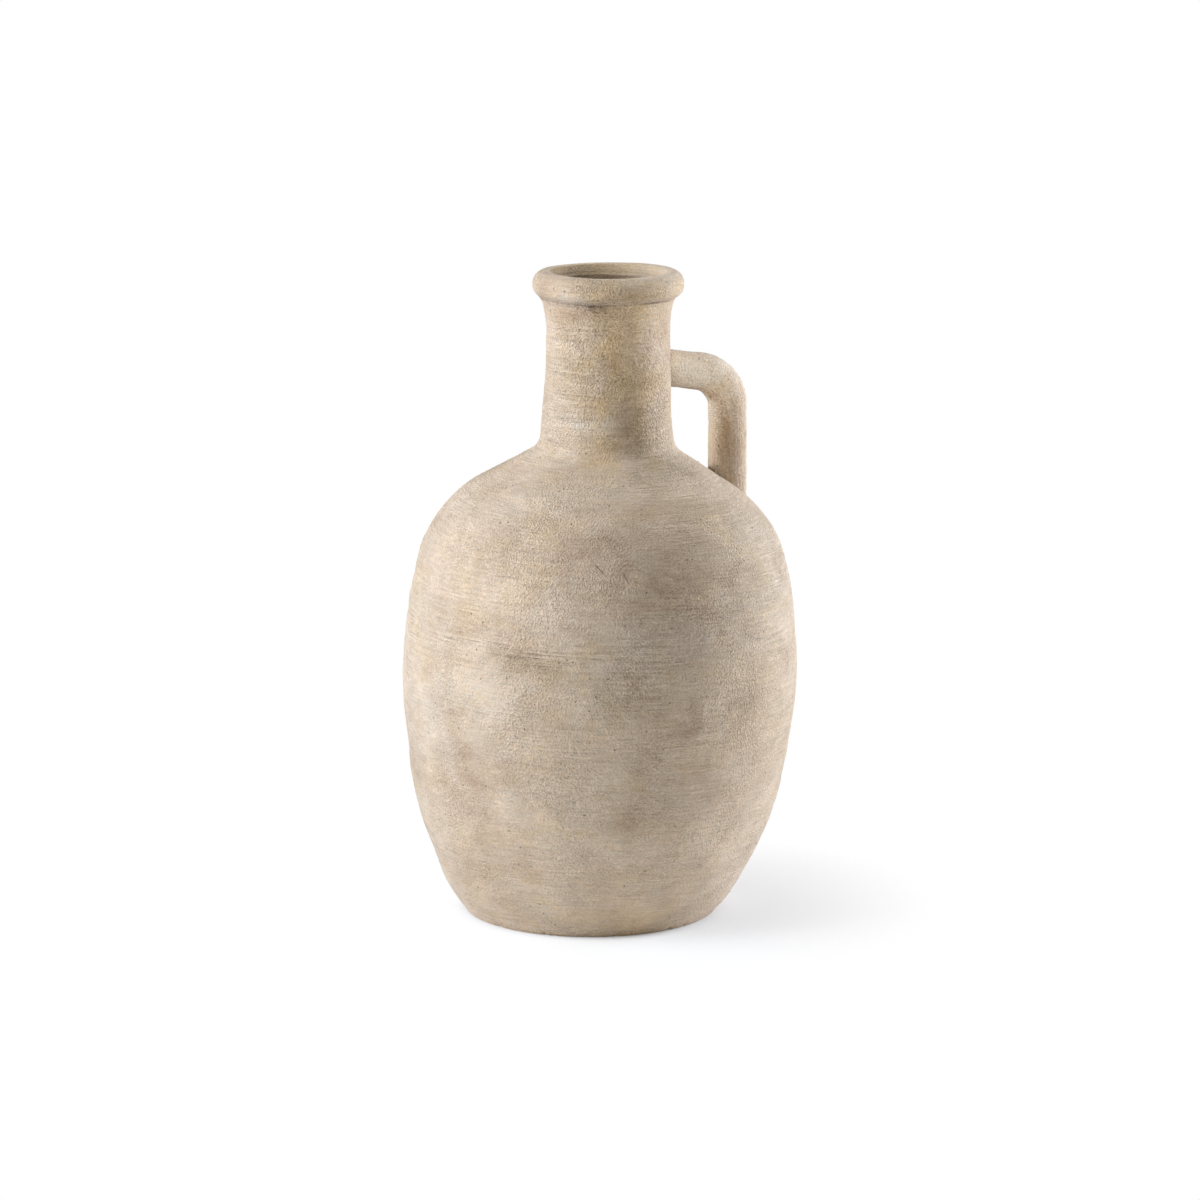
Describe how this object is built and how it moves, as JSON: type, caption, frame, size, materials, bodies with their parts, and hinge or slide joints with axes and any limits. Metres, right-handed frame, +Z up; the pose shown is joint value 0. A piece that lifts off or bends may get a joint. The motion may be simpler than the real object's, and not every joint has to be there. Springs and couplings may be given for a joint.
{
  "type": "jug vase",
  "caption": "Tall unglazed earthenware jug vase with an egg-shaped body on a flat foot, an upright neck with a rolled rim, and one rod handle from neck to shoulder.",
  "frame": {"origin": "centre of the flat foot, on the table", "axes": "+Z up, +X from the turning axis towards the handle, +Y at right angles to the plane of the handle"},
  "size_m": [0.2452, 0.245, 0.401],
  "materials": {
    "earthenware": "unglazed, dry matt",
    "slip": "unglazed, dry matt"
  },
  "bodies": {
    "root": {"lower_body": "earthenware", "belly_slip": "slip", "upper_body": "earthenware", "neck_slip": "slip", "neck": "earthenware", "rim_slip": "slip", "rim_roll": "earthenware", "handle": "earthenware", "handle_top_slip": "slip", "handle_foot_slip": "slip"}
  },
  "joints": []
}
